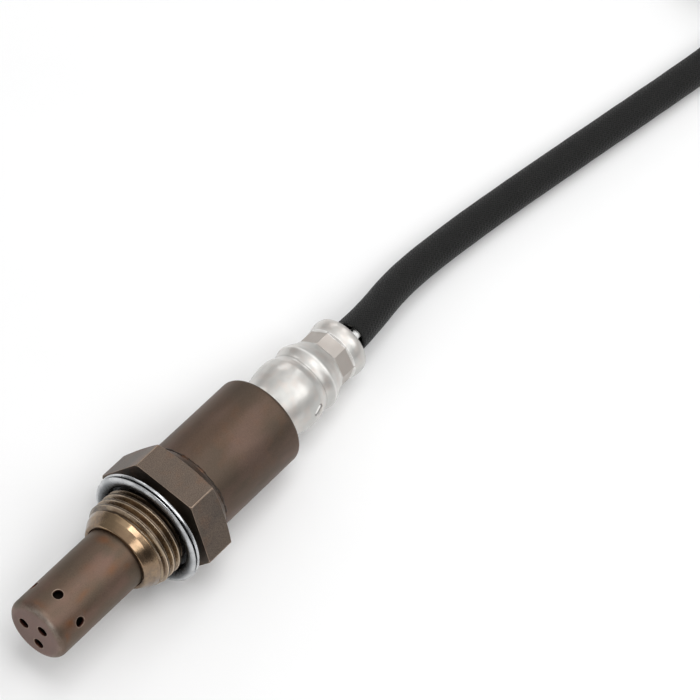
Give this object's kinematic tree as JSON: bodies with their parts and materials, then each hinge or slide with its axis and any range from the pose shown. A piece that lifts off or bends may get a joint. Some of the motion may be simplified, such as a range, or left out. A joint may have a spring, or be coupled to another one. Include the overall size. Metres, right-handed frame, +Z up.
{
  "type": "oxygen sensor",
  "caption": "Heated exhaust oxygen sensor: a screw-in steel body with a perforated tip, a crimped tail and a braided lead ending in a sealed connector.",
  "frame": {"origin": "on the axis, at the middle of the mounting thread", "axes": "+X from the tip to the lead as the sensor lies, +Z up; the axis leans down towards the tail"},
  "size_m": [0.3764, 0.053, 0.0232],
  "materials": {
    "shield_steel": "heat-tinted satin",
    "inner_steel": "satin",
    "housing_steel": "bronze-tinted, machined",
    "gasket_steel": "folded bright sheet",
    "sleeve_steel": "heat-tinted satin",
    "tube_steel": "satin, crimped",
    "zirconia": "matt",
    "alumina": "matt",
    "talc": "pressed powder",
    "contact_metal": "nickel plated",
    "ptfe": "porous",
    "grommet_rubber": "matt",
    "wire_white": "satin",
    "wire_black": "satin",
    "braid": "fine braid",
    "tie_nylon": "satin",
    "band_shrink": "satin",
    "connector_nylon": "fine-grained",
    "seal_silicone": "satin",
    "retainer_nylon": "satin"
  },
  "bodies": {
    "root": {"braided_lead": "braid", "ceramic_bush": "alumina", "connector_housing": "connector_nylon", "connector_terminal_1": "contact_metal", "connector_terminal_2": "contact_metal", "connector_terminal_3": "contact_metal", "connector_terminal_4": "contact_metal", "contact_holder": "alumina", "contact_terminal_1": "contact_metal", "contact_terminal_2": "contact_metal", "contact_terminal_3": "contact_metal", "contact_terminal_4": "contact_metal", "crimp_ring": "inner_steel", "end_band": "band_shrink", "face_seal": "seal_silicone", "ferrule_1": "contact_metal", "ferrule_2": "contact_metal", "ferrule_3": "contact_metal", "ferrule_4": "contact_metal", "gasket": "gasket_steel", "grommet": "grommet_rubber", "housing": "housing_steel", "inner_contact": "contact_metal", "inner_shield": "inner_steel", "lead_hank": "braid", "lead_tail": "braid", "outer_contact": "contact_metal", "outer_shield": "shield_steel", "rear_sleeve": "sleeve_steel", "rear_tube": "tube_steel", "rod_heater": "alumina", "seat_washer": "inner_steel", "sensing_thimble": "zirconia", "tail_wire_1": "wire_white", "tail_wire_2": "wire_black", "tail_wire_3": "wire_white", "tail_wire_4": "wire_black", "talc_seal": "talc", "terminal_retainer": "retainer_nylon", "tie_1": "tie_nylon", "tie_2": "tie_nylon", "vent_filter": "ptfe", "wire_1": "wire_white", "wire_2": "wire_black", "wire_3": "wire_white", "wire_4": "wire_black", "wire_seal_1": "seal_silicone", "wire_seal_2": "seal_silicone", "wire_seal_3": "seal_silicone", "wire_seal_4": "seal_silicone"}
  },
  "joints": []
}
